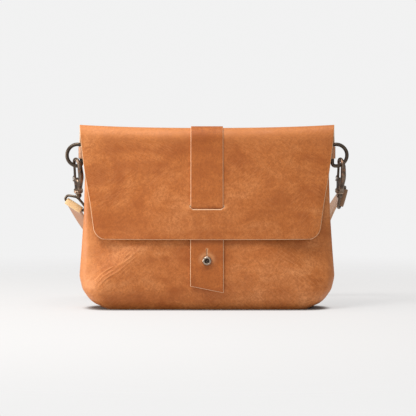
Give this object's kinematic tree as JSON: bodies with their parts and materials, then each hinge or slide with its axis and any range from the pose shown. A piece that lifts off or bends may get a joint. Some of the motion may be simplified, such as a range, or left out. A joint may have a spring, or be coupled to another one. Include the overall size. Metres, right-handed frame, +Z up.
{
  "type": "sling bag",
  "caption": "Small flap-over leather sling bag with a stud-and-keyhole closure strap, side D-rings and a shoulder strap on swivel trigger hooks.",
  "frame": {"origin": "centre of the base, on the ground the bag stands on", "axes": "+Z up, the front with the flap faces -Y, +X to the right as seen from the front"},
  "size_m": [0.3097, 0.3805, 0.1944],
  "materials": {
    "pouch_leather": "waxed pull-up, satin",
    "flap_leather": "waxed pull-up, satin",
    "closure_leather": "waxed pull-up, satin",
    "strap_leather": "waxed pull-up, satin",
    "chape_leather": "waxed pull-up, satin",
    "thread": "waxed thread",
    "antique_brass": "antiqued, rubbed bright on edges",
    "steel_pin": "plain",
    "stud_metal": "antiqued nickel, satin"
  },
  "bodies": {
    "bag": {"front_panel": "pouch_leather", "back_panel": "pouch_leather", "seam_thread": "thread", "flap_lap": "flap_leather", "lap_thread": "thread", "closure_back": "closure_leather", "closure_thread": "thread", "stud": "stud_metal", "stud_screw": "stud_metal", "chape_left": "chape_leather", "chape_right": "chape_leather"},
    "flap": {"flap": "flap_leather", "closure_strap": "closure_leather"},
    "tab": {"closure_tab": "closure_leather"},
    "strap": {"strap_long": "strap_leather", "strap_short": "strap_leather", "strap_stud": "stud_metal", "strap_rivet_left": "stud_metal", "strap_rivet_right": "stud_metal", "swivel_eye_left": "antique_brass", "swivel_eye_right": "antique_brass"},
    "keeper": {"strap_keeper": "strap_leather"},
    "ring_left": {"d_ring_left": "antique_brass"},
    "hook_left": {"hook_left": "antique_brass", "gate_pin_left": "steel_pin", "gate_spring_left": "steel_pin"},
    "gate_left": {"gate_left": "antique_brass"},
    "ring_right": {"d_ring_right": "antique_brass"},
    "hook_right": {"hook_right": "antique_brass", "gate_pin_right": "steel_pin", "gate_spring_right": "steel_pin"},
    "gate_right": {"gate_right": "antique_brass"}
  },
  "joints": [
    {"name": "flap_open", "type": "hinge", "parent": "bag", "child": "flap", "pos_m": [0, 0.012, 0.1781], "axis": [-1, 0, 0], "range_deg": [0, 105]},
    {"name": "tab_lift", "type": "hinge", "parent": "flap", "child": "tab", "pos_m": [0, -0.0284, 0.0712], "axis": [-1, 0, 0], "range_deg": [0, 90], "deforming": ["closure_tab"]},
    {"name": "strap_raise", "type": "hinge", "parent": "bag", "child": "strap", "pos_m": [0, 0, 0.1525], "axis": [1, 0, 0], "range_deg": [0, 90]},
    {"name": "keeper_slide", "type": "slide", "parent": "strap", "child": "keeper", "axis": [0, 1, 0], "range_m": [-0.003, 0.008]},
    {"name": "ring_left_swing", "type": "hinge", "parent": "bag", "child": "ring_left", "pos_m": [-0.134, 0, 0.1635], "axis": [0, 0, 1], "range_deg": [-3, 3]},
    {"name": "hook_left_swivel", "type": "hinge", "parent": "strap", "child": "hook_left", "pos_m": [-0.1388, 0, 0.153], "axis": [0, 0.5, -0.866], "range_deg": [0, 20]},
    {"name": "gate_left_press", "type": "hinge", "parent": "hook_left", "child": "gate_left", "pos_m": [-0.14166, 0.01472, 0.13667], "axis": [0.848, 0.4589, 0.265], "range_deg": [0, 10], "stiffness_Nm_per_rad": 0.02},
    {"name": "ring_right_swing", "type": "hinge", "parent": "bag", "child": "ring_right", "pos_m": [0.134, 0, 0.1635], "axis": [0, 0, 1], "range_deg": [-3, 3]},
    {"name": "hook_right_swivel", "type": "hinge", "parent": "strap", "child": "hook_right", "pos_m": [0.1433, 0, 0.153], "axis": [0, 0.5, -0.866], "range_deg": [-15, 18]},
    {"name": "gate_right_press", "type": "hinge", "parent": "hook_right", "child": "gate_right", "pos_m": [0.14168, 0.01521, 0.13695], "axis": [0.9537, 0.2604, 0.1504], "range_deg": [0, 10], "stiffness_Nm_per_rad": 0.02}
  ]
}
